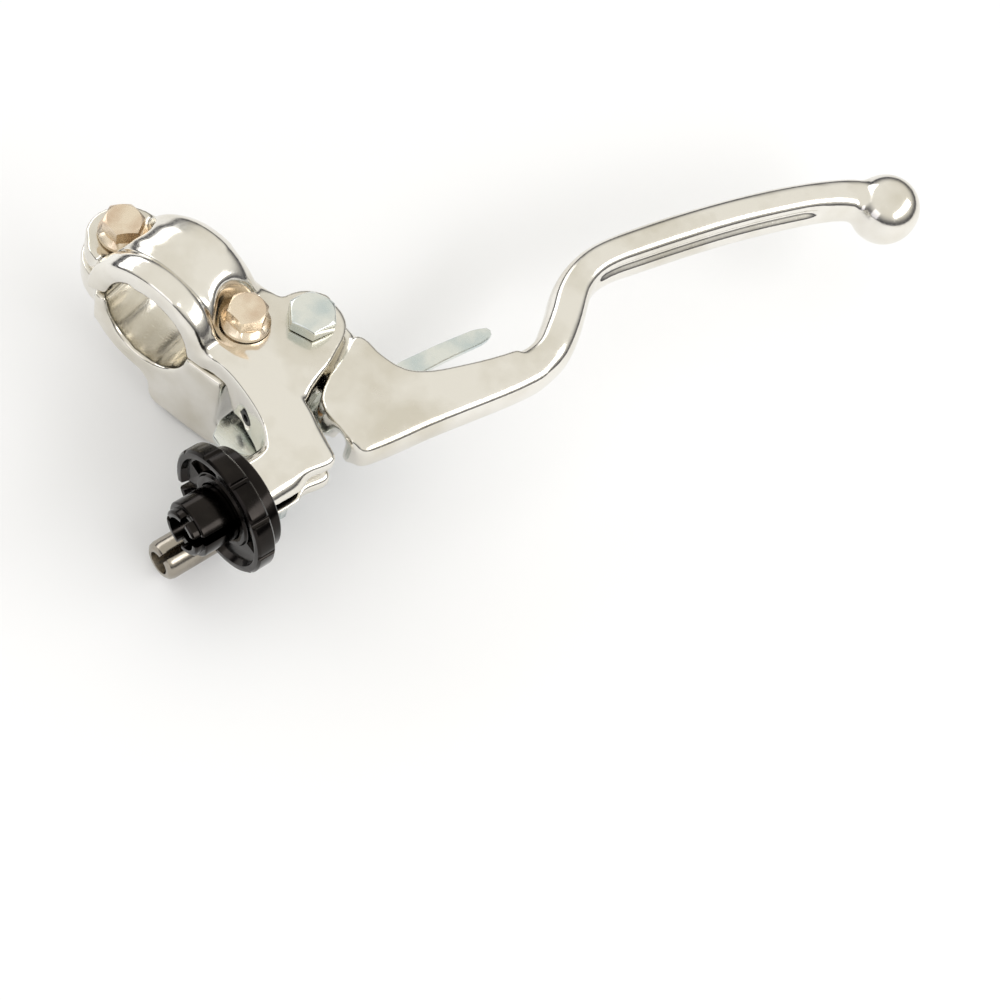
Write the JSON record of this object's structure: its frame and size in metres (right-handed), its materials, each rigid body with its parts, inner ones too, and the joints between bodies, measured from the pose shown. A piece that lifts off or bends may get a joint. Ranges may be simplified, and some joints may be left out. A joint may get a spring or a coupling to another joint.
{
  "type": "clutch lever",
  "caption": "Motorcycle clutch perch with split handlebar clamp, pivoting ball-end lever, cable adjuster wheel and hot-start lever.",
  "frame": {"origin": "centre of the handlebar bore, on the plane of the lever", "axes": "+X along the handlebar towards the grip, +Y towards the rider, +Z along the lever pivot towards the bolt heads"},
  "size_m": [0.2042, 0.1482, 0.0437],
  "materials": {
    "polished_aluminium": "polished cast aluminium",
    "gold_bolt": "yellow zinc plated",
    "clear_zinc": "clear blue zinc plated",
    "black_anodised": "black anodised satin",
    "bronze": "sintered bronze",
    "nylon": "moulded nylon",
    "black_steel": "black oxide"
  },
  "bodies": {
    "perch": {"perch_body": "polished_aluminium", "lower_clamp": "polished_aluminium", "clamp_bolt_front": "gold_bolt", "clamp_bolt_rear": "gold_bolt", "pivot_bolt": "clear_zinc", "pivot_nut": "clear_zinc", "pivot_nut_insert": "nylon", "adjuster_collar": "black_anodised", "detent_ball": "clear_zinc", "detent_spring": "clear_zinc", "hot_start_adjuster": "clear_zinc", "hot_start_lock_nut": "clear_zinc", "hot_start_screw": "black_steel", "hot_start_bushing": "bronze", "hot_start_thrust_washer": "nylon", "hot_start_washer": "clear_zinc", "set_screw": "black_steel"},
    "lever": {"lever_blade": "polished_aluminium", "pivot_bushing": "bronze"},
    "wheel": {"adjuster_wheel": "black_anodised"},
    "barrel": {"adjuster_barrel": "black_anodised"},
    "hot_lever": {"hot_start_lever": "clear_zinc"}
  },
  "joints": [
    {"name": "lever_pull", "type": "hinge", "parent": "perch", "child": "lever", "pos_m": [0.0102, -0.0272, 0], "axis": [0, 0, 1], "range_deg": [0, 28]},
    {"name": "wheel_turn", "type": "hinge", "parent": "perch", "child": "wheel", "pos_m": [-0.0381, -0.0401, 0], "axis": [-0.9622, 0.2723, 0], "range_deg": [0, 720]},
    {"name": "barrel_travel", "type": "slide", "parent": "perch", "child": "barrel", "axis": [-0.9622, 0.2723, 0], "range_m": [0, 0.0026]},
    {"name": "hot_start_pull", "type": "hinge", "parent": "perch", "child": "hot_lever", "pos_m": [-0.003, -0.0328, -0.0083], "axis": [0, 0, 1], "range_deg": [0, 20]}
  ],
  "couplings": [
    {"joint": "barrel_travel", "follows": "wheel_turn", "m_per_rad": 0.00019894}
  ]
}
